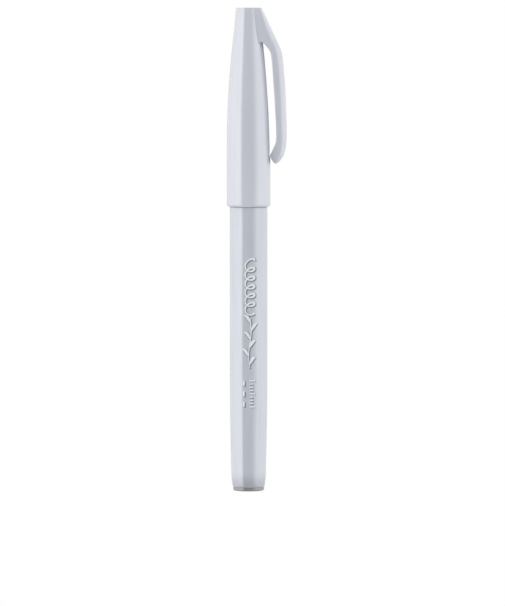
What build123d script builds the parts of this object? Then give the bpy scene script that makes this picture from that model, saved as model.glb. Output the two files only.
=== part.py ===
from build123d import *
import os

# A capped calligraphy marker with a flexible brush nib. Millimetres, +Z up along the pen.
# The origin is the middle of the tail plug's flat end; the clip points along +X.

# ---- overall sizes
pen_length = 139.0  # capped, tail to cap top
cap_length = 57.2
barrel_radius = 5.42

# ---- fits and gaps
mouth_gap = 0.05  # cap mouth to the barrel's shoulder
cap_clearance = 0.20  # cap bore round the barrel's neck and the section
snap_clearance = 0.04  # cap's bead over the section's bead
seal_clearance = 0.05  # inner sleeve round the nose
sleeve_clearance = 0.05  # cap round the inner sleeve
wrap_clearance = 0.05  # wrapped reservoir in the barrel
flex_clearance = 0.05  # between the two halves of a bending piece
nub_gap = 0.12  # clip nub to the cap

# ---- barrel
barrel_wall = 1.12
tail_taper_end = 36.0  # the barrel is a plain cylinder above this height
tail_taper = 0.47  # how much the radius falls along the taper
tail_round_height = 3.2  # rounded stretch above the rear edge
tail_round = 0.39  # how much the radius falls along that stretch
tail_edge = 0.15
neck_step = 0.42  # shoulder that the cap's mouth meets
neck_length = 4.3
rear_ledge = 6.9  # length of the narrow rear bore that the plug fills
rear_ledge_step = 0.70

# ---- tail plug
plug_head = 1.1  # height of the part that shows
plug_inset = 0.07  # plug's head inside the barrel's rear edge
plug_edge = 0.40
plug_stem_length = 6.4
plug_wall = 0.8
plug_floor = 2.2

# ---- front section
section_plug_length = 8.0  # in the barrel's bore
section_wall = 1.3
snap_height = 4.2  # snap bead's middle above the barrel's front edge
snap_size = 0.40  # half height of a bead
snap_rise = 0.08
grip_step = 0.15
grip_taper = 0.65
grip_length = 15.0  # from the barrel's front edge to the end of the grip
nose_step = 1.05  # from the end of the grip in to the nose
nose_slope = 2.4  # height of the shoulder from the grip to the nose
nose_length = 4.6
nose_edge = 0.5

# ---- brush nib
nib_radius = 1.75
nib_stem_out = 2.0  # axis of the bend above the nose's end
nib_point_length = 8.0  # from the bend to the tip
nib_tip_radius = 0.30
nib_depth = 9.0  # stem inside the reservoir

# ---- ink reservoir
film_thickness = 0.10

# ---- inner sleeve
sleeve_wall = 0.55
sleeve_ring_step = 0.70  # from the cap's bore in to the ring
sleeve_ring_length = 3.4  # length of the thick ring that sits in the cap
sleeve_length = 19.2
sleeve_roof = 0.7
sleeve_chamfer = 0.7
seal_length = 3.4  # overlap with the nose

# ---- cap
cap_wall = 1.08
cap_straight = 17.2  # height of the cylindrical skirt
cap_shoulder_radius = 4.20  # where the arc meets the straight cone
cap_shoulder_drop = 6.5  # that place, below the top
cap_top_radius = 3.62
cap_top_wall = 1.32
cap_roof = 1.5
bore_straight = 18.2  # height of the cylindrical bore above the mouth
seat_lead = 0.5  # seat's start below the sleeve
mouth_edge = 0.80
flat_depth = 0.50  # flat under the clip, below the cone
flat_depth_low = 0.26
notch_depth = 0.30  # where the clip's nub lands

# ---- clip, as drops below the cap's top and distances in from its furthest face
clip_reach = 4.68  # furthest face out from the cap's skirt
clip_overhang = 0.10  # outer face past the cone at the cap's top
clip_half_top = 3.45
clip_half_bend = 3.75
clip_half_tip = 2.45
clip_edge = 0.50
flex_in = 2.70  # axis that the arm bends about
flex_drop = 15.4
flex_radius = 1.75

# ---- derived sizes
barrel_bore = barrel_radius - barrel_wall
neck_radius = barrel_radius - neck_step
tail_round_radius = barrel_radius - tail_taper
tail_radius = tail_round_radius - tail_round
plug_radius = tail_radius - plug_inset
plug_stem_radius = barrel_bore - rear_ledge_step
cap_bore = neck_radius + cap_clearance
cap_radius = cap_bore + cap_wall
snap_radius = neck_radius + snap_rise
grip_rear_radius = neck_radius - grip_step
grip_front_radius = grip_rear_radius - grip_taper
nose_radius = grip_front_radius - nose_step
nose_chamfer = min(nose_edge, (nose_radius - nib_radius) / 2)
section_bore = barrel_bore - section_wall
film_radius = barrel_bore - wrap_clearance
core_radius = film_radius - film_thickness
sleeve_bore = nose_radius + seal_clearance
sleeve_radius = sleeve_bore + sleeve_wall
sleeve_ring_radius = cap_bore - sleeve_ring_step

# ---- derived heights
ledge_z = plug_head + rear_ledge
cap_mouth_z = pen_length - cap_length
shoulder_z = cap_mouth_z - mouth_gap
barrel_front_z = shoulder_z + neck_length
section_rear_z = barrel_front_z - section_plug_length
snap_z = barrel_front_z + snap_height
catch_z = snap_z - 4 * snap_size  # the cap's own bead, resting below the section's
grip_end_z = barrel_front_z + grip_length
nose_start_z = grip_end_z + nose_slope
nose_end_z = nose_start_z + nose_length
nib_pivot_z = nose_end_z + nib_stem_out
nib_tip_z = nib_pivot_z + nib_point_length
nib_rear_z = section_rear_z - nib_depth
sleeve_mouth_z = nose_end_z - seal_length
sleeve_top_z = sleeve_mouth_z + sleeve_length

os.makedirs("parts", exist_ok=True)

# ---- tail plug: a cup pushed into the barrel's narrow rear bore
with BuildPart() as end_plug:
    with BuildSketch(Plane.XZ):
        with BuildLine():
            rim = TangentArc((plug_radius, plug_edge), (plug_radius - plug_edge, 0), tangent=(0, -1))
            Polyline(
                rim @ 1,
                (0, 0),
                (0, plug_floor),
                (plug_stem_radius - plug_wall, plug_floor),
                (plug_stem_radius - plug_wall, plug_head + plug_stem_length),
                (plug_stem_radius, plug_head + plug_stem_length),
                (plug_stem_radius, plug_head),
                (plug_radius, plug_head),
                rim @ 0,
            )
        make_face()
    revolve(axis=Axis.Z)
end_plug.part.label = "end_plug"
export_step(end_plug.part, "parts/end_plug.step")

# ---- barrel: a cylinder that tapers to the tail, with a thinner neck under the cap
with BuildPart() as barrel:
    with BuildSketch(Plane.XZ):
        with BuildLine():
            taper = TangentArc(
                (barrel_radius, tail_taper_end),
                (tail_round_radius, plug_head + tail_round_height),
                tangent=(0, -1),
            )
            rounding = TangentArc(taper @ 1, (tail_radius, plug_head), tangent=taper % 1)
            Polyline(
                rounding @ 1,
                (plug_stem_radius, plug_head),
                (plug_stem_radius, ledge_z),
                (barrel_bore, ledge_z),
                (barrel_bore, barrel_front_z),
                (neck_radius, barrel_front_z),
                (neck_radius, shoulder_z),
                (barrel_radius, shoulder_z),
                taper @ 0,
            )
        make_face()
    revolve(axis=Axis.Z)
    rear_edges = barrel.edges().filter_by(GeomType.CIRCLE).group_by(Axis.Z)[0]
    fillet(rear_edges.sort_by(SortBy.RADIUS)[-1], tail_edge)
barrel.part.label = "barrel"
export_step(barrel.part, "parts/barrel.step")

# ---- front section: plug in the barrel, snap bead, grip and nose round the nib's stem
with BuildPart() as front_section:
    with BuildSketch(Plane.XZ):
        with BuildLine():
            bead = ThreePointArc(
                (neck_radius, snap_z - snap_size),
                (snap_radius, snap_z),
                (neck_radius, snap_z + snap_size),
            )
            grip = Line((grip_rear_radius, snap_z + 3 * snap_size), (grip_front_radius, grip_end_z))
            nose_curve = Spline(
                grip @ 1, (nose_radius, nose_start_z), tangents=(grip % 1, (0, 1))
            )
            Polyline(
                nose_curve @ 1,
                (nose_radius, nose_end_z - nose_chamfer),
                (nose_radius - nose_chamfer, nose_end_z),
                (nib_radius, nose_end_z),
                (nib_radius, barrel_front_z),
                (section_bore, barrel_front_z - section_bore + nib_radius),
                (section_bore, section_rear_z),
                (barrel_bore, section_rear_z),
                (barrel_bore, barrel_front_z),
                (neck_radius, barrel_front_z),
                bead @ 0,
            )
            Line(bead @ 1, grip @ 0)
        make_face()
    revolve(axis=Axis.Z)
front_section.part.label = "front_section"
export_step(front_section.part, "parts/front_section.step")

# ---- brush nib, the stem: from inside the reservoir to the cup where the point bends
with BuildPart() as brush_nib:
    with BuildSketch(Plane.XY.offset(nib_rear_z)):
        Circle(nib_radius)
    extrude(amount=nib_pivot_z - nib_rear_z)
    with Locations((0, 0, nib_pivot_z)):
        Sphere(nib_radius + flex_clearance, mode=Mode.SUBTRACT)
brush_nib.part.label = "brush_nib"
export_step(brush_nib.part, "parts/brush_nib.step")

# ---- brush nib, the point: a ball-ended ogive that bends about the ball's middle
with BuildPart() as brush_point:
    with BuildSketch(Plane.XZ):
        with BuildLine():
            ball = RadiusArc((0, nib_pivot_z - nib_radius), (nib_radius, nib_pivot_z), -nib_radius)
            side = TangentArc(
                ball @ 1, (nib_tip_radius, nib_tip_z - nib_tip_radius), tangent=(0, 1)
            )
            tip = RadiusArc(side @ 1, (0, nib_tip_z), -nib_tip_radius)
            Line(tip @ 1, ball @ 0)
        make_face()
    revolve(axis=Axis.Z)
brush_point.part.label = "brush_point"
export_step(brush_point.part, "parts/brush_point.step")

# ---- ink reservoir: a fibre rod, with the nib's stem pushed into its front end
with BuildPart() as ink_reservoir:
    with BuildSketch(Plane.XY.offset(ledge_z)):
        Circle(core_radius)
    extrude(amount=section_rear_z - ledge_z)
    with BuildSketch(Plane.XY.offset(nib_rear_z)):
        Circle(nib_radius)
    extrude(amount=nib_depth, mode=Mode.SUBTRACT)
ink_reservoir.part.label = "ink_reservoir"
export_step(ink_reservoir.part, "parts/ink_reservoir.step")

# ---- reservoir film: a thin tube round the fibre rod
with BuildPart() as reservoir_film:
    with BuildSketch(Plane.XY.offset(ledge_z)):
        Circle(film_radius)
        Circle(core_radius, mode=Mode.SUBTRACT)
    extrude(amount=section_rear_z - ledge_z)
reservoir_film.part.label = "reservoir_film"
export_step(reservoir_film.part, "parts/reservoir_film.step")

# ---- inner sleeve: a closed tube that seals round the nose, with a ring that sits in the cap
with BuildPart() as cap_inner_sleeve:
    with BuildSketch(Plane.XZ):
        with BuildLine():
            ring_top_z = sleeve_mouth_z + sleeve_ring_length
            inner_roof_z = sleeve_top_z - sleeve_roof
            Polyline(
                (sleeve_bore, sleeve_mouth_z),
                (sleeve_ring_radius, sleeve_mouth_z),
                (sleeve_ring_radius, ring_top_z),
                (sleeve_radius, ring_top_z + sleeve_ring_radius - sleeve_radius),
                (sleeve_radius, sleeve_top_z - sleeve_chamfer),
                (sleeve_radius - sleeve_chamfer, sleeve_top_z),
                (0, sleeve_top_z),
                (0, inner_roof_z),
                (sleeve_bore - sleeve_chamfer, inner_roof_z),
                (sleeve_bore, inner_roof_z - sleeve_chamfer),
                close=True,
            )
        make_face()
    revolve(axis=Axis.Z)
cap_inner_sleeve.part.label = "cap_inner_sleeve"
export_step(cap_inner_sleeve.part, "parts/cap_inner_sleeve.step")

# ---- outline of the cap, shared by the shell and the flat under the clip
with BuildLine() as cap_outline:
    skirt = Line((cap_radius, cap_mouth_z), (cap_radius, cap_mouth_z + cap_straight))
    cone = TangentArc(
        skirt @ 1, (cap_shoulder_radius, pen_length - cap_shoulder_drop), tangent=skirt % 1
    )
flat_end_z = pen_length - 44.8
notch_z = pen_length - 42.5
notch_x = cap_radius - notch_depth

# ---- clip blank: the clip's root and arm in one, before the bend is cut
clip_out = cap_radius + clip_reach
clip_bend = (clip_out - 1.66, pen_length - 11.9)
arm_start = (clip_out - 1.12, pen_length - 14.9)
arm_end = (clip_out, pen_length - 36.5)
toe_end = (clip_out - 3.06, pen_length - 44.9)
nub_low = (clip_out - 4.46, pen_length - 43.2)
nub_high = (clip_out - 4.34, pen_length - 41.4)
slot_roof = (cap_shoulder_radius + 0.15, pen_length - 9.8)
plan_end_z = pen_length - 46.0
with BuildPart() as clip_blank:
    with BuildSketch(Plane.XZ):
        with BuildLine():
            top = Line((0, pen_length), (cap_top_radius + clip_overhang, pen_length))
            slant = Line(top @ 1, clip_bend)
            outer = ThreePointArc(arm_start, (clip_out - 0.30, pen_length - 26.4), arm_end)
            Spline(slant @ 1, outer @ 0, tangents=(slant % 1, outer % 0))
            toe = Spline(
                outer @ 1,
                (clip_out - 1.12, pen_length - 42.6),
                toe_end,
                tangents=(outer % 1, (-1, -0.1)),
            )
            heel = TangentArc(toe @ 1, (clip_out - 3.66, pen_length - 44.6), tangent=toe % 1)
            Line(heel @ 1, nub_low)
            nub = ThreePointArc(nub_low, (notch_x + nub_gap, notch_z), nub_high)
            inner = Spline(
                nub @ 1,
                (clip_out - 2.98, pen_length - 37.9),
                (clip_out - 3.47, pen_length - 26.4),
                (clip_out - 4.36, pen_length - 14.8),
                slot_roof,
                tangents=((0.8, 1), (-0.8, 0.6)),
            )
            Polyline(inner @ 1, (0, slot_roof[1]), top @ 0)
        make_face()
    extrude(amount=2 * clip_half_bend, both=True)
    with BuildSketch(Plane.YZ):
        with BuildLine():
            flank = ThreePointArc(
                (clip_half_top, pen_length),
                (clip_half_bend, clip_bend[1]),
                (clip_half_tip, plan_end_z),
            )
            mirror(flank, about=Plane.YZ)
            Line(flank @ 0, (-clip_half_top, pen_length))
            Line(flank @ 1, (-clip_half_tip, plan_end_z))
        make_face()
    extrude(amount=2 * clip_out, both=True, mode=Mode.INTERSECT)
    long_edges = clip_blank.edges().filter_by(lambda e: abs(e.center().Y) > 1)
    slant_edges = long_edges.filter_by(lambda e: e.center().Z > clip_bend[1] and e.center().X > 5.6)
    arm_edges = long_edges.filter_by(lambda e: e.center().X > clip_out - 2)
    fillet(slant_edges + arm_edges, clip_edge)

# ---- the arm's side of the bend: all below its axis, with a round end that turns on it
flex_x = clip_out - flex_in
flex_z = pen_length - flex_drop
with BuildPart() as arm_region:
    with BuildSketch(Plane.XZ):
        with Locations((flex_x, flex_z)):
            Rectangle(4 * clip_reach, cap_length, align=(Align.CENTER, Align.MAX))
            Circle(flex_radius)
    extrude(amount=2 * clip_half_bend, both=True)

# ---- the same region with its gap, which the clip's root leaves free
with BuildPart() as arm_room:
    with BuildSketch(Plane.XZ):
        with Locations((flex_x, flex_z)):
            Rectangle(4 * clip_reach, cap_length, align=(Align.CENTER, Align.MAX))
            Circle(flex_radius + flex_clearance)
    extrude(amount=2 * clip_half_bend, both=True)

# ---- clip arm
with BuildPart() as cap_clip:
    add(clip_blank.part)
    add(arm_region.part, mode=Mode.INTERSECT)
cap_clip.part.label = "cap_clip"
export_step(cap_clip.part, "parts/cap_clip.step")

# ---- clip root: what is left of the clip above the bend, one moulding with the cap
with BuildPart() as clip_root:
    add(clip_blank.part)
    add(arm_room.part, mode=Mode.SUBTRACT)

# ---- cap shell: skirt and cone, a flat under the clip, the clip's root, and the cavity
seat_radius = sleeve_ring_radius + sleeve_clearance
seat_z = sleeve_mouth_z - seat_lead
seat_top_z = sleeve_mouth_z + sleeve_ring_length + sleeve_clearance
with BuildPart() as cap_shell:
    with BuildSketch(Plane.XZ):
        with BuildLine():
            add(cap_outline.line)
            Polyline(
                cone @ 1, (cap_top_radius, pen_length), (0, pen_length), (0, cap_mouth_z), skirt @ 0
            )
        make_face()
    revolve(axis=Axis.Z)
    mouth_rim = cap_shell.edges().filter_by(GeomType.CIRCLE).sort_by(Axis.Z)[0]
    fillet(mouth_rim, mouth_edge)
    with BuildSketch(Plane.XZ):
        with BuildLine():
            floor = ThreePointArc(
                cone @ 1 - (flat_depth, 0), cone @ 0.5 - (flat_depth, 0), cone @ 0 - (flat_depth_low, 0)
            )
            Polyline(
                floor @ 1,
                (notch_x, notch_z),
                (cap_radius + notch_depth, flat_end_z),
                (2 * cap_radius, flat_end_z),
                (2 * cap_radius, pen_length - cap_shoulder_drop),
                floor @ 0,
            )
        make_face()
    extrude(amount=cap_radius, both=True, mode=Mode.SUBTRACT)
    add(clip_root.part)
    with BuildSketch(Plane.XZ):
        with BuildLine():
            Polyline(
                (0, cap_mouth_z),
                (cap_bore, cap_mouth_z),
                (cap_bore, catch_z - snap_size),
                (snap_radius + snap_clearance, catch_z),
                (cap_bore, catch_z + snap_size),
                (cap_bore, cap_mouth_z + bore_straight),
                (seat_radius, seat_z),
                (seat_radius, seat_top_z),
                (sleeve_radius + sleeve_clearance, sleeve_top_z - sleeve_chamfer),
                (cap_top_radius - cap_top_wall, pen_length - cap_roof),
                (0, pen_length - cap_roof),
                close=True,
            )
        make_face()
    revolve(axis=Axis.Z, mode=Mode.SUBTRACT)
cap_shell.part.label = "cap_shell"
export_step(cap_shell.part, "parts/cap_shell.step")
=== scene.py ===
import math

import bmesh
import bpy
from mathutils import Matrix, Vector


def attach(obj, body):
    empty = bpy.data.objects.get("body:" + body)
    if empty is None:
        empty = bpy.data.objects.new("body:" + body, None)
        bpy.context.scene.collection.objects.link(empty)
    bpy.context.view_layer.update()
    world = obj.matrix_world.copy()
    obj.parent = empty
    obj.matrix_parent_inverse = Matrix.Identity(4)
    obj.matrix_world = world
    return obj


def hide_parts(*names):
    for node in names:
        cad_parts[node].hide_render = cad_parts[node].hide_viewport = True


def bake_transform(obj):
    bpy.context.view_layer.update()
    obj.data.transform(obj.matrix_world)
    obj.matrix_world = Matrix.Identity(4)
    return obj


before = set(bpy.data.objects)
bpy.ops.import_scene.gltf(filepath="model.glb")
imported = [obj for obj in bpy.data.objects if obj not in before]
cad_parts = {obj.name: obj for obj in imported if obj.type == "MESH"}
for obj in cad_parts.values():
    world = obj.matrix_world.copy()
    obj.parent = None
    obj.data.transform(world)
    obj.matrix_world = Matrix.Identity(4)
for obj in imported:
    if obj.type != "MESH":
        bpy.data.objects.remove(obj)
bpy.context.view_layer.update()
MM = 0.001
scene = bpy.context.scene
scene.view_settings.view_transform = "Standard"


# ---- Studio: soft light all round, with a tall white panel to the left of the pen, a weaker
# one to the right and the unlit room in front. A panel's light leaves near the horizon, so it
# lies along the pen as one clean band.
class Shade:
    """A value in a shader: arithmetic on it adds Math nodes, and make() adds any other node."""

    def __init__(self, tree, socket=None):
        self.tree = tree
        self.socket = socket

    def make(self, kind, settings, sockets, out=0):
        node = self.tree.nodes.new(kind)
        for name, value in settings.items():
            if name == "stops":
                ramp = node.color_ramp.elements
                ramp[0].position, ramp[1].position = value[0][0], value[-1][0]
                for place, _ in value[1:-1]:
                    ramp.new(place)
                for stop, (_, level) in zip(ramp, value):
                    stop.color = (level, level, level, 1)
            else:
                setattr(node, name, value)
        for name, value in sockets.items():
            if isinstance(value, Shade):
                self.tree.links.new(value.socket, node.inputs[name])
            else:
                node.inputs[name].default_value = value
        return Shade(self.tree, node.outputs[out])

    def maths(self, operation, *values):
        return self.make("ShaderNodeMath", {"operation": operation}, dict(enumerate(values)))

    def __add__(self, other):
        return self.maths("ADD", self, other)

    def __sub__(self, other):
        return self.maths("SUBTRACT", self, other)

    def __rsub__(self, other):
        return self.maths("SUBTRACT", other, self)

    def __mul__(self, other):
        return self.maths("MULTIPLY", self, other)

    def __truediv__(self, other):
        return self.maths("DIVIDE", self, other)

    __radd__ = __add__
    __rmul__ = __mul__

    def between(self, low, high):
        """0 below low, 1 above high, and a smooth step from one to the other."""
        settings = {"interpolation_type": "SMOOTHSTEP"}
        sockets = {"Value": self, "From Min": low, "From Max": high}
        return self.make("ShaderNodeMapRange", settings, sockets)


PANELS = [  # degrees round from the camera, and brightness
    (-180, 0.65),
    (-150, 0.8),
    (-120, 1.1),
    (-80, 2.3),
    (-45, 3.5),
    (-35, 0.2),
    (22, 0.2),
    (56, 2.6),
    (90, 1.9),
    (120, 1.1),
    (150, 0.8),
    (180, 0.65),
]
PANEL_PEAK = 3.5
PANEL_FADE = (19, 38)  # degrees from the horizon, where a panel's light starts and ends to fade
PANEL_TINT = (1.02, 1.0, 0.965, 1)
ROOM_LEVEL = 0.68
ROOM_TINT = (0.95, 0.99, 1.06, 1)
CEILING_LEVEL = 0.4
WHITE = (1, 1, 1, 1)
world = bpy.data.worlds.new("studio")
scene.world = world
world.use_nodes = True
sky = Shade(world.node_tree)
direction = sky.make("ShaderNodeTexCoord", {}, {}, "Generated")
x = sky.make("ShaderNodeSeparateXYZ", {}, {0: direction}, 0)
y = sky.make("ShaderNodeSeparateXYZ", {}, {0: direction}, 1)
z = sky.make("ShaderNodeSeparateXYZ", {}, {0: direction}, 2)
turn = sky.maths("ARCTAN2", x, 0 - y) / math.tau + 0.5
stops = [(angle / 360 + 0.5, level / PANEL_PEAK) for angle, level in PANELS]
panels = sky.make("ShaderNodeValToRGB", {"stops": stops}, {0: turn}) * PANEL_PEAK
above = sky.maths("MAXIMUM", z, 0)
room = above * above * CEILING_LEVEL + ROOM_LEVEL
height = sky.maths("ABSOLUTE", z)
low = 1 - height.between(*[math.sin(math.radians(angle)) for angle in PANEL_FADE])
glow = room + (panels - room) * low
seen = sky.make("ShaderNodeLightPath", {}, {}, "Is Camera Ray")
glow = glow + (1 - glow) * seen
warm = sky.make("ShaderNodeMix", {"data_type": "RGBA"}, {0: low, 6: ROOM_TINT, 7: PANEL_TINT}, 2)
tint = sky.make("ShaderNodeMix", {"data_type": "RGBA"}, {0: seen, 6: warm, 7: WHITE}, 2)
backdrop = world.node_tree.nodes["Background"]
world.node_tree.links.new(glow.socket, backdrop.inputs["Strength"])
world.node_tree.links.new(tint.socket, backdrop.inputs["Color"])


# ---- Camera: a metre and a half away, level with the top of the cap and looking a little down.
AIM = Vector((1.12, 0, 54.1)) * MM
EYE = Vector((1.12, -1500, 136)) * MM
VIEW_HEIGHT = 174.5 * MM
camera = bpy.data.objects.new("camera", bpy.data.cameras.new("camera"))
camera.location = EYE
camera.rotation_mode = "QUATERNION"
camera.rotation_quaternion = (AIM - EYE).to_track_quat("-Z", "Y")
camera.data.lens = camera.data.sensor_width * (AIM - EYE).length / VIEW_HEIGHT
camera.data.clip_end = 20
scene.collection.objects.link(camera)
scene.camera = camera


# ---- Barrel: one polypropylene moulding, a tube that swells from its rounded tail to the cap,
# with a thinner neck inside the cap. Light grey with a trace of pearl, and highly polished; near
# the tail the grey is darkened as painted shade.
BARREL_RADIUS = 5.42
TAPER_END = 36.0
TAIL_TOP = 4.3
TAIL_TOP_RADIUS = 4.95
TAIL_SLOPE = 2 * (BARREL_RADIUS - TAIL_TOP_RADIUS) / (TAPER_END - TAIL_TOP)
TAIL_CURVE = 0.0288
PLUG_HEAD = 1.1
SHOULDER = 81.75
SHOULDER_EDGE = 0.12
NECK_RADIUS = 5.00
NECK_END = 86.05
BORE = 4.30
PLUG_BORE = 3.60
PLUG_BORE_END = 8.0
TAIL_EDGE = 0.15
# Painted shade near the tail: the grey is darkened below the upper height (mm), reaching the
# tone's share of itself below the lower height.
TAIL_PAINTED_SHADE_SPAN = (1.2, 6)
TAIL_PAINTED_SHADE = 0.7
ARC_STEPS = 6


def barrel_radius(height):
    """The barrel's outer radius at a height: straight, then tapered, then rounded off."""
    if height >= TAPER_END:
        return BARREL_RADIUS
    if height >= TAIL_TOP:
        drop = (TAPER_END - height) / (TAPER_END - TAIL_TOP)
        return BARREL_RADIUS - (BARREL_RADIUS - TAIL_TOP_RADIUS) * drop * drop
    below = TAIL_TOP - height
    return TAIL_TOP_RADIUS - TAIL_SLOPE * below - TAIL_CURVE * below * below


def rounded(corners):
    """The outline through the corners, with an arc where a corner gives a radius."""
    outline = []
    for place, corner in enumerate(corners):
        here = Vector(corner[:2])
        if len(corner) < 3:
            outline.append(here)
            continue
        before = (Vector(corners[place - 1][:2]) - here).normalized()
        after = (Vector(corners[(place + 1) % len(corners)][:2]) - here).normalized()
        half = before.angle(after) / 2
        start = before * corner[2] / math.tan(half)
        end = after * corner[2] / math.tan(half)
        middle = (before + after).normalized() * corner[2] / math.sin(half)
        for step in range(ARC_STEPS):
            spoke = (start - middle).slerp(end - middle, step / (ARC_STEPS - 1)) * corner[2]
            outline.append(here + middle + spoke)
    return outline


def skin(name, rings, loop):
    """A mesh through rings of points, in millimetres; a ring of one point closes an end."""
    wide = max(len(ring) for ring in rings)
    shell = bmesh.new()
    rows = [[shell.verts.new(Vector(point) * MM) for point in ring] for ring in rings]
    for below, above in zip(rows, rows[1:] + rows[:1] if loop else rows[1:]):
        for k in range(wide):
            nxt = (k + 1) % wide
            if len(below) == 1:
                shell.faces.new((below[0], above[k], above[nxt]))
            elif len(above) == 1:
                shell.faces.new((below[k], above[0], below[nxt]))
            else:
                shell.faces.new((below[k], above[k], above[nxt], below[nxt]))
    if not loop:
        for row in (rows[0], rows[-1]):
            if len(row) > 1:
                shell.faces.new(row)
    bmesh.ops.recalc_face_normals(shell, faces=shell.faces)
    mesh = bpy.data.meshes.new(name)
    shell.to_mesh(mesh)
    shell.free()
    mesh.polygons.foreach_set("use_smooth", [True] * len(mesh.polygons))
    piece = bpy.data.objects.new(name, mesh)
    scene.collection.objects.link(piece)
    return piece


def turned(name, outline, loop=True, around=144):
    """A piece turned about the pen's axis from an outline of radius and height."""
    rings = []
    for radius, height in outline:
        if radius < 1e-6:
            rings.append([(0, 0, height)])
            continue
        angles = [math.tau * k / around for k in range(around)]
        rings.append([(radius * math.cos(a), radius * math.sin(a), height) for a in angles])
    piece = skin(name, rings, loop)
    piece.modifiers.new("flat_faces_stay_flat", "WEIGHTED_NORMAL").keep_sharp = True
    return piece


def plastic(name, colour, roughness, coat, pearl, peel, foot=1.0):
    """A moulded plastic: cloudy along the flow, with faint drag lines and orange peel.

    foot is how dark the painted shade makes the grey towards the bottom of the pen, where 1 is no
    change.
    """
    material = bpy.data.materials.new(name)
    material.use_nodes = True
    shader = material.node_tree.nodes["Principled BSDF"]
    root = Shade(material.node_tree)
    place = root.make("ShaderNodeTexCoord", {}, {}, "Object")
    along = root.make("ShaderNodeMapping", {}, {"Vector": place, "Scale": (1, 1, 0.12)})
    lines = root.make("ShaderNodeMapping", {}, {"Vector": place, "Scale": (1, 1, 0.015)})
    cloud = root.make("ShaderNodeTexNoise", {}, {"Vector": along, "Scale": 420, "Detail": 4})
    wipe = root.make("ShaderNodeTexNoise", {}, {"Vector": place, "Scale": 160, "Detail": 3})
    skin_grain = root.make("ShaderNodeTexNoise", {}, {"Vector": place, "Scale": 2600, "Detail": 2})
    drag = root.make("ShaderNodeTexNoise", {}, {"Vector": lines, "Scale": 3200, "Detail": 2})
    deep = [c * (1 - pearl) for c in colour] + [1]
    pale = [min(c * (1 + pearl), 1) for c in colour] + [1]
    mix = {"data_type": "RGBA"}
    tint = root.make("ShaderNodeMix", mix, {0: cloud.between(0.3, 0.7), 6: deep, 7: pale}, 2)
    height = root.make("ShaderNodeSeparateXYZ", {}, {0: place}, 2) / MM
    # Painted shade: the colour is multiplied down towards the bottom of the piece, reaching foot
    # at the lowest heights.
    painted_shade = height.between(*TAIL_PAINTED_SHADE_SPAN) * (1 - foot) + foot
    painted_shade_blend = {"data_type": "RGBA", "blend_type": "MULTIPLY"}
    tint = root.make("ShaderNodeMix", painted_shade_blend, {0: 1, 6: tint, 7: painted_shade}, 2)
    relief = skin_grain * 0.7 + drag * 0.3
    bump = {"Strength": peel, "Distance": 0.004 * MM, "Height": relief}
    normal = root.make("ShaderNodeBump", {}, bump)
    rough = (wipe - 0.5) * 0.08 + roughness
    links = {"Base Color": tint, "Roughness": rough, "Normal": normal}
    for socket, value in links.items():
        material.node_tree.links.new(value.socket, shader.inputs[socket])
    shader.inputs["IOR"].default_value = 1.5
    shader.inputs["Coat Weight"].default_value = coat
    shader.inputs["Coat Roughness"].default_value = 0.08
    return material


taper = [(barrel_radius(h), h) for h in (1.7, 2.2, 2.8, 3.5, 4.3, 6, 8, 11, 15, 20, 25, 30, 36)]
barrel_outline = (
    [(PLUG_BORE, PLUG_HEAD), (barrel_radius(PLUG_HEAD), PLUG_HEAD, TAIL_EDGE)]
    + taper
    + [(BARREL_RADIUS, SHOULDER, SHOULDER_EDGE), (NECK_RADIUS, SHOULDER)]
    + [(NECK_RADIUS, NECK_END, SHOULDER_EDGE), (BORE, NECK_END)]
    + [(BORE, PLUG_BORE_END), (PLUG_BORE, PLUG_BORE_END)]
)
barrel = turned("barrel_tube", rounded(barrel_outline))
# The last argument darkens the barrel's grey near the tail as painted shade.
barrel_grey = plastic("barrel_grey", (0.478, 0.513, 0.575), 0.2, 0.8, 0.03, 0.25, TAIL_PAINTED_SHADE)
barrel.data.materials.append(barrel_grey)
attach(barrel, "pen")
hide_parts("barrel")


# ---- Tail plug: a polished cup in a warmer and darker grey, pressed into the barrel's narrow end,
# with a round edge, a shallow ring in its face and the dimple where it was gated.
PLUG_RADIUS = 4.49
PLUG_LENGTH = 7.5
PLUG_HOLLOW = 2.80
PLUG_FLOOR = 2.2
GATE_DEPTH = 0.16
RING_DEPTH = 0.12
plug_outline = [
    (0, GATE_DEPTH),
    (0.5, GATE_DEPTH, 0.1),
    (0.6, 0, 0.06),
    (2.35, 0, 0.05),
    (2.45, RING_DEPTH),
    (2.85, RING_DEPTH),
    (2.95, 0, 0.05),
    (PLUG_RADIUS, 0, 0.40),
    (PLUG_RADIUS, PLUG_HEAD, 0.08),
    (PLUG_BORE, PLUG_HEAD),
    (PLUG_BORE, PLUG_LENGTH, 0.15),
    (PLUG_HOLLOW, PLUG_LENGTH),
    (PLUG_HOLLOW, PLUG_FLOOR),
    (0, PLUG_FLOOR),
]
plug = turned("tail_plug", rounded(plug_outline), loop=False, around=96)
plug_grey = plastic("plug_grey", (0.215, 0.212, 0.2), 0.24, 0.8, 0.05, 0.3)
plug.data.materials.append(plug_grey)
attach(plug, "pen")
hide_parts("end_plug")


# ---- Cap: the same grey, moulded with the clip. A straight skirt with a soft round mouth, then
# a long cone. A flat runs down under the clip and ends in a notch where the clip's nub lands.
CAP_RADIUS = 6.28
CAP_MOUTH = 81.8
CONE_START = 99.0
CONE_CURVE = 270.8
CONE_END = 132.5
CONE_END_RADIUS = 4.20
CAP_TOP = 139.0
CAP_TOP_RADIUS = 3.62
CAP_ROOF = 137.5
CAP_BORE = 5.20
GATE_RADIUS = 0.9
GATE_DIMPLE = 0.14
FLAT_DEPTHS = (0.26, 0.50)
NOTCH = (5.98, 96.5)
NOTCH_END = (6.58, 94.2)
FLAT_TURN = math.radians(28)
NARROW_TURN = math.radians(4)
FLAT_COLUMNS = (-1, -0.97, -0.8, -0.4, 0, 0.4, 0.8, 0.97)
ROUND_COLUMNS = 150


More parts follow.
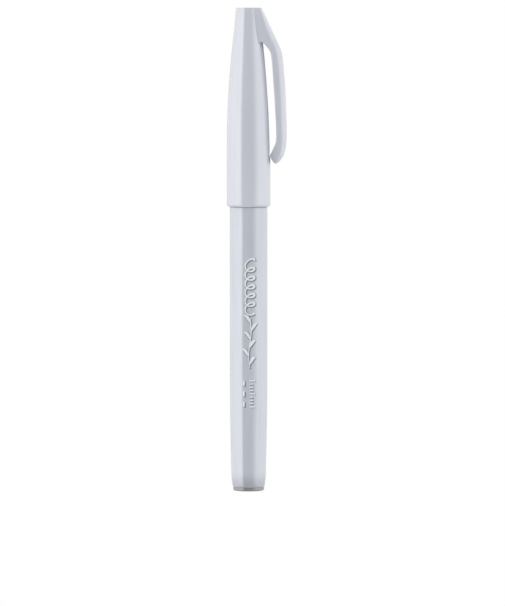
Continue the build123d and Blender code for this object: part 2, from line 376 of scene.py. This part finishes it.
def cap_radius(height):
    """The cap's outer radius: a straight skirt, a long arc and a short straight cone."""
    if height <= CONE_START:
        return CAP_RADIUS
    if height <= CONE_END:
        run = height - CONE_START
        return CAP_RADIUS - CONE_CURVE + math.sqrt(CONE_CURVE * CONE_CURVE - run * run)
    share = (height - CONE_END) / (CAP_TOP - CONE_END)
    return CONE_END_RADIUS + (CAP_TOP_RADIUS - CONE_END_RADIUS) * share


def flat_distance(height):
    """How far the flat under the clip is from the axis, or past the cap where there is none."""
    if height > CONE_END:
        return 2 * CAP_RADIUS
    if height >= CONE_START:
        share = (height - CONE_START) / (CONE_END - CONE_START)
        low, high = FLAT_DEPTHS
        depth = low + (high - low) * min(2 * share, 1)
        return cap_radius(height) - depth
    if height >= NOTCH[1]:
        share = (height - NOTCH[1]) / (CONE_START - NOTCH[1])
        return NOTCH[0] + (CAP_RADIUS - FLAT_DEPTHS[0] - NOTCH[0]) * share
    share = (height - NOTCH_END[1]) / (NOTCH[1] - NOTCH_END[1])
    return NOTCH_END[0] + (NOTCH[0] - NOTCH_END[0]) * share


def cap_ring(radius, height, flat, turn):
    """A ring of the cap with columns on the flat's two edges, wherever they are."""
    angles = [turn * share for share in FLAT_COLUMNS]
    rest = math.tau - 2 * turn
    angles += [turn + rest * k / ROUND_COLUMNS for k in range(ROUND_COLUMNS)]
    ring = []
    for angle in angles:
        reach = radius
        if math.cos(angle) > 0:
            reach = min(radius, flat / math.cos(angle))
        ring.append((reach * math.cos(angle), reach * math.sin(angle), height))
    return ring


cap_heights = [84, 88, 92, 94.5, 95.2, 95.35, 95.6, 95.9, 96.2, 96.45, 96.5, 96.6, 97.5, 98.5, 99]
cap_heights += [99 + k * 33.5 / 24 for k in range(1, 25)]
cavity = [(2.30, CAP_ROOF), (3.80, 123.15), (4.55, 108.10), (4.55, 104.15), (CAP_BORE, 100.0)]
cavity += [(CAP_BORE, 89.05), (5.12, 88.65), (CAP_BORE, 88.25)]
mouth = [(CAP_BORE, 84), (CAP_BORE, CAP_MOUTH, 0.1)]
mouth += [(CAP_RADIUS, CAP_MOUTH, 0.80), (CAP_RADIUS, 84)]
rings = [[(0, 0, CAP_ROOF)]]
for radius, height in cavity + rounded(mouth)[:-1]:
    rings.append(cap_ring(radius, height, 2 * CAP_RADIUS, NARROW_TURN))
for height in cap_heights:
    radius, flat = cap_radius(height), flat_distance(height)
    turn = math.acos(min(flat / radius, 1))
    rings.append(cap_ring(radius, height, flat, max(turn, NARROW_TURN)))
gate = CAP_TOP - GATE_DIMPLE
upper = [(CONE_END_RADIUS, CONE_END + 0.02), (CONE_END_RADIUS, CONE_END + 0.02)]
upper += [(CAP_TOP_RADIUS, CAP_TOP, 0.22), (GATE_RADIUS + 0.15, CAP_TOP, 0.06)]
upper += [(GATE_RADIUS, gate, 0.05), (0, gate), (0, CAP_TOP)]
for radius, height in rounded(upper)[1:-2]:
    rings.append(cap_ring(radius, height, 2 * CAP_RADIUS, FLAT_TURN))
rings.append([(0, 0, gate)])
cap = skin("cap_moulding", rings, False)
cap.modifiers.new("flat_faces_stay_flat", "WEIGHTED_NORMAL").keep_sharp = True
cap_grey = plastic("cap_grey", (0.533, 0.553, 0.613), 0.2, 0.8, 0.02, 0.25)
cap.data.materials.append(cap_grey)
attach(cap, "cap")
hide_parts("cap_shell")


# ---- Pocket clip: moulded in one with the cap. A web grows out of the cone, turns down into a
# springy arm with a full, rounded outer side, and hooks in to a nub that grips the cloth.
CLIP_STATIONS = [  # outer side, inner side, half width, and how far the outer side rounds over
    ((3.66, 138.97), (1.2, 138.97), 3.30, 0.5),
    ((4.70, 136.87), (1.4, 136.0), 3.50, 0.9),
    ((5.90, 134.33), (1.6, 133.2), 3.62, 1.3),
    ((7.10, 131.78), (1.8, 130.8), 3.70, 1.7),
    ((7.95, 129.98), (2.0, 129.25), 3.73, 1.9),
    ((8.42, 128.95), (3.8, 129.05), 3.74, 2.0),
    ((8.80, 128.1), (4.5, 128.6), 3.75, 2.0),
    ((9.12, 127.4), (5.25, 127.75), 3.75, 2.0),
    ((9.43, 126.45), (5.95, 126.8), 3.75, 2.1),
    ((9.67, 125.3), (6.4, 125.7), 3.74, 2.1),
    ((9.86, 124.1), (6.6, 124.2), 3.73, 2.1),
    ((10.16, 121.0), (6.88, 121.0), 3.68, 2.1),
    ((10.48, 116.6), (7.2, 116.6), 3.58, 2.1),
    ((10.68, 112.6), (7.49, 112.6), 3.46, 2.1),
    ((10.86, 108.0), (7.74, 108.0), 3.30, 2.1),
    ((10.945, 104.2), (7.93, 104.0), 3.14, 2.1),
    ((10.93, 101.6), (7.93, 101.2), 3.00, 2.0),
    ((10.74, 99.2), (7.55, 99.55), 2.88, 2.0),
    ((10.33, 97.4), (7.02, 98.4), 2.76, 1.9),
    ((9.80, 96.2), (6.5, 97.25), 2.66, 1.6),
    ((9.20, 95.3), (6.13, 96.5), 2.60, 1.3),
    ((8.60, 94.65), (6.38, 95.85), 2.55, 0.9),
    ((8.05, 94.28), (6.80, 95.15), 2.50, 0.6),
    ((7.62, 94.2), (7.12, 94.65), 2.40, 0.25),
]
CLIP_INNER_EDGE = 0.3
CLIP_INNER_STEPS = 4
CLIP_OUTER_STEPS = 8
CLIP_BULGE = 0.62
CLIP_STEPS = 5


def smooth_between(before, start, end, after, share):
    """A point on the smooth curve from start to end that also heeds the points beyond them."""
    squared, cubed = share * share, share * share * share
    return (
        before * (2 * squared - share - cubed)
        + start * (3 * cubed - 5 * squared + 2)
        + end * (share + 4 * squared - 3 * cubed)
        + after * (cubed - squared)
    ) / 2


def clip_ring(outer, inner, half, crown):
    """A ring round the clip: a flat inner side with small edges and a rounded outer side."""
    depth = outer - inner
    thick = depth.length
    depth = depth / thick
    crown = min(crown, 0.75 * thick)
    edge = min(CLIP_INNER_EDGE, 0.2 * thick)
    side = []
    for k in range(CLIP_INNER_STEPS + 1):
        a = math.pi / 2 * k / CLIP_INNER_STEPS
        side.append((edge * (1 - math.cos(a)), half - edge + edge * math.sin(a)))
    bulge = CLIP_BULGE * half
    for k in range(CLIP_OUTER_STEPS + 1):
        a = math.pi / 2 * k / CLIP_OUTER_STEPS
        side.append((thick - crown + crown * math.sin(a), half - bulge + bulge * math.cos(a)))
    ring = [(across, lift) for lift, across in side]
    ring += [(-across, lift) for across, lift in reversed(ring)]
    points = []
    for across, lift in ring:
        spot = inner + depth * lift
        points.append((spot[0], across, spot[1]))
    return points


keys = [
    (Vector(outer), Vector(inner), Vector((half, crown)))
    for outer, inner, half, crown in CLIP_STATIONS
]
rings = []
for place in range(len(keys) - 1):
    around = [keys[min(max(place + step, 0), len(keys) - 1)] for step in (-1, 0, 1, 2)]
    last = place == len(keys) - 2
    for step in range(CLIP_STEPS + last):
        outer, inner, size = (
            smooth_between(*[key[part] for key in around], step / CLIP_STEPS) for part in range(3)
        )
        rings.append(clip_ring(outer, inner, size[0], size[1]))
clip = skin("pocket_clip", rings, False)
clip.data.materials.append(cap_grey)
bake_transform(clip)
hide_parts("cap_clip")


# ---- Front section: a satin grey moulding pressed into the barrel. A bead on it snaps into the
# cap, and it tapers along the grip to the nose that holds the nib.
SECTION_RADIUS = 5.00
SECTION_START = 78.05
SECTION_BORE = 3.00
NIB_BORE = 1.75
NOSE_END = 108.05
section_outline = [
    (NIB_BORE, 90.0),
    (SECTION_BORE, 86.5),
    (SECTION_BORE, SECTION_START),
    (BORE, SECTION_START, 0.2),
    (BORE, NECK_END),
    (SECTION_RADIUS, NECK_END, 0.08),
    (SECTION_RADIUS, 89.85),
    (5.04, 89.97),
    (5.075, 90.12),
    (5.08, 90.25),
    (5.075, 90.38),
    (5.04, 90.53),
    (SECTION_RADIUS, 90.65),
    (4.85, 91.45, 0.3),
    (4.20, 101.05, 1.5),
    (3.72, 101.6, 0.6),
    (3.20, 102.6, 0.6),
    (3.15, NOSE_END, 0.4),
    (NIB_BORE + 0.2, NOSE_END, 0.1),
    (NIB_BORE, NOSE_END - 0.25),
]
section = turned("front_section_moulding", rounded(section_outline), around=120)
section_grey = plastic("section_grey", (0.34, 0.35, 0.37), 0.35, 0.2, 0.03, 0.5)
section.data.materials.append(section_grey)
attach(section, "pen")
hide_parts("front_section")


# ---- Brush nib: one rod of bonded fibre, soaked in grey ink and ground to a soft point. Its stem
# reaches back into the reservoir.
NIB_RADIUS = 1.75
NIB_START = 69.05
POINT_START = 110.05
POINT_END = 118.05
NIB_COLUMNS = 96
FLUTES = 23
FLUFF = 0.008
nib_outline = [(0, NIB_START), (NIB_RADIUS - 0.2, NIB_START), (NIB_RADIUS, NIB_START + 0.25)]
nib_outline.append((NIB_RADIUS, 90))
nib_outline += [(NIB_RADIUS, 90 + k * (POINT_START - 90) / 24) for k in range(1, 25)]
for k in range(1, 40):
    share = k / 40
    height = POINT_START + (POINT_END - POINT_START) * share
    nib_outline.append((NIB_RADIUS * (1 - share ** 1.9) ** 0.9, height))
nib_outline.append((0, POINT_END))
rings = []
for radius, height in nib_outline:
    if radius == 0:
        rings.append([(0, 0, height)])
        continue
    ring = []
    for k in range(NIB_COLUMNS):
        angle = math.tau * k / NIB_COLUMNS
        fluff = 1 - FLUFF * (1 + math.sin(FLUTES * angle + 0.7 * math.sin(height * 1.3)))
        ring.append((radius * fluff * math.cos(angle), radius * fluff * math.sin(angle), height))
    rings.append(ring)
nib = skin("brush_tip", rings, False)
nib_ink = plastic("inked_fibre", (0.24, 0.25, 0.28), 0.75, 0.0, 0.2, 1.0)
nib.data.materials.append(nib_ink)
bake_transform(nib)
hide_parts("brush_nib", "brush_point")


# ---- Inner sleeve: an unpigmented cup pressed into the cap by the ring round its mouth. It seals
# round the nose so that the nib doesn't dry.
SLEEVE_BORE = 3.20
SLEEVE_RADIUS = 3.75
SLEEVE_RING = 4.50
SLEEVE_MOUTH = 104.65
SLEEVE_ROOF = 123.15
SLEEVE_END = 123.85
sleeve_outline = [
    (0, SLEEVE_ROOF),
    (2.50, SLEEVE_ROOF),
    (SLEEVE_BORE, 122.45),
    (SLEEVE_BORE, SLEEVE_MOUTH, 0.25),
    (SLEEVE_RING, SLEEVE_MOUTH, 0.2),
    (SLEEVE_RING, 108.05, 0.1),
    (SLEEVE_RADIUS, 108.80),
    (SLEEVE_RADIUS, SLEEVE_ROOF),
    (3.05, SLEEVE_END),
    (0, SLEEVE_END),
]
sleeve = turned("inner_sleeve", rounded(sleeve_outline), loop=False, around=96)
sleeve_milk = plastic("sleeve_milk", (0.80, 0.80, 0.78), 0.4, 0.0, 0.02, 0.4)
milk = sleeve_milk.node_tree.nodes["Principled BSDF"]
milk.inputs["Subsurface Weight"].default_value = 0.4
milk.inputs["Subsurface Scale"].default_value = 1.5 * MM
sleeve.data.materials.append(sleeve_milk)
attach(sleeve, "liner")
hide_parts("cap_inner_sleeve")


# ---- Ink reservoir: a bundle of lengthwise fibre, wet with ink, in a thin clear wrap. Both keep
# the CAD shape, inside the barrel.
for node, look in (
    ("ink_reservoir", ("reservoir_fibre", (0.40, 0.41, 0.45), 0.9, 0.0, 0.25, 1.0)),
    ("reservoir_film", ("clear_wrap", (0.85, 0.85, 0.85), 0.12, 0.3, 0.02, 0.2)),
):
    made = plastic(*look)
    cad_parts[node].data.materials.clear()
    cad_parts[node].data.materials.append(made)


# ---- Print: pad-printed along the front of the barrel in silvery ink, as a calligrapher's warm-up:
# a looping wave, a sprig of six leaves and a scale of small bars. Under the silver lies a painted
# shadow: a wider, darker copy of each stroke, shifted down and to the right.
WAVE = (66.5, 51.5)
WAVE_TURNS = 6
TURN_STEPS = 20
SPRIG = (50.0, 35.5)
SPRIG_STEPS = 24
LEAVES = ((2, -1), (6, 1), (10, -1), (14, 1), (18, -1), (22, 1))  # place on the stem, and side
SCALE_BARS = (32.0, 24.5)
DASHES = (32.0, 29.0, 26.0)
INK_LIFT = 0.02
# The painted shadow under the strokes: its lift, how much wider it is, and how far it is shifted
# down and right.
PAINTED_SHADOW_LIFT = 0.008
PAINTED_SHADOW_SPREAD = 0.2
PAINTED_SHADOW_SHIFT = 0.16


def ribbon(name, strokes, extra, lift):
    """Flat strokes on the barrel: each is a list of across, height and width, in millimetres."""
    ink = bmesh.new()
    for stroke in strokes:
        rows = []
        for place, (across, height, width) in enumerate(stroke):
            ahead = stroke[min(place + 1, len(stroke) - 1)]
            behind = stroke[max(place - 1, 0)]
            run = Vector((ahead[0] - behind[0], ahead[1] - behind[1])).normalized()
            row = []
            for share, rise in ((-1, 0.1), (-0.8, 1), (0, 1.25), (0.8, 1), (1, 0.1)):
                reach = (width / 2 + extra) * share
                s = across - run.y * reach
                h = height + run.x * reach
                radius = barrel_radius(h) + lift * rise
                angle = s / barrel_radius(h) - math.pi / 2
                point = Vector((radius * math.cos(angle), radius * math.sin(angle), h)) * MM
                row.append(ink.verts.new(point))
            rows.append(row)
        for first, second in zip(rows, rows[1:]):
            for k in range(4):
                ink.faces.new((first[k], first[k + 1], second[k + 1], second[k]))
        ink.faces.new(rows[0])
        ink.faces.new(rows[-1])
    bmesh.ops.recalc_face_normals(ink, faces=ink.faces)
    mesh = bpy.data.meshes.new(name)
    ink.to_mesh(mesh)
    ink.free()
    mesh.polygons.foreach_set("use_smooth", [True] * len(mesh.polygons))
    piece = bpy.data.objects.new(name, mesh)
    scene.collection.objects.link(piece)
    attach(piece, "pen")
    return piece


wave = []
for k in range(WAVE_TURNS * TURN_STEPS + 1):
    phase = math.tau * k / TURN_STEPS
    drift = WAVE[0] + (WAVE[1] - WAVE[0]) * k / (WAVE_TURNS * TURN_STEPS)
    slant = 1.1 * math.sin(phase)
    wide = 0.40 + 0.28 * max(math.cos(phase - 0.4), 0)
    wave.append((0.35 + 1.3 * math.cos(phase) + 0.3 * slant, drift + slant, wide))
strokes = [wave]
stem = []
for k in range(SPRIG_STEPS + 1):
    share = k / SPRIG_STEPS
    across = 0.35 + 0.35 * math.sin(math.tau * share)
    stem.append((across, SPRIG[0] + (SPRIG[1] - SPRIG[0]) * share, 0.36 - 0.16 * share))
strokes.append(stem)
for place, lean in LEAVES:
    foot, height, _ = stem[place]
    leaf = []
    for k in range(15):
        share = k / 14
        across = foot + lean * (0.15 + 1.75 * share)
        arch = height + 1.9 * share + 0.7 * math.sin(math.pi * share)
        leaf.append((across, arch, 0.16 + 0.72 * math.sin(math.pi * share ** 0.8)))
    strokes.append(leaf)
for k in range(9):
    height = SCALE_BARS[0] + (SCALE_BARS[1] - SCALE_BARS[0]) * k / 8
    reach = 1.7 if k % 4 == 0 else 1.1
    strokes.append([(0.3 + reach * share, height, 0.32) for share in (0, 0.5, 1)])
for top in DASHES:
    strokes.append([(-1.4, top - 1.6 * share, 0.55) for share in (0, 0.5, 1)])
# Painted shadow: a wider, darker copy of every stroke, shifted down and to the right, lying under
# the silver.
shadow = [[(a + PAINTED_SHADOW_SHIFT, h - PAINTED_SHADOW_SHIFT, w) for a, h, w in stroke] for stroke in strokes]
shadow_strip = ribbon("print_painted_shadow", shadow, PAINTED_SHADOW_SPREAD, PAINTED_SHADOW_LIFT)
painted_shadow_ink = plastic("painted_shadow_ink", (0.20, 0.215, 0.25), 0.4, 0.0, 0.05, 0.3)
shadow_strip.data.materials.append(painted_shadow_ink)
silver = ribbon("print_silver", strokes, 0, INK_LIFT)
silver_ink = plastic("silver_ink", (0.74, 0.755, 0.78), 0.35, 0.0, 0.05, 0.3)
silver.data.materials.append(silver_ink)
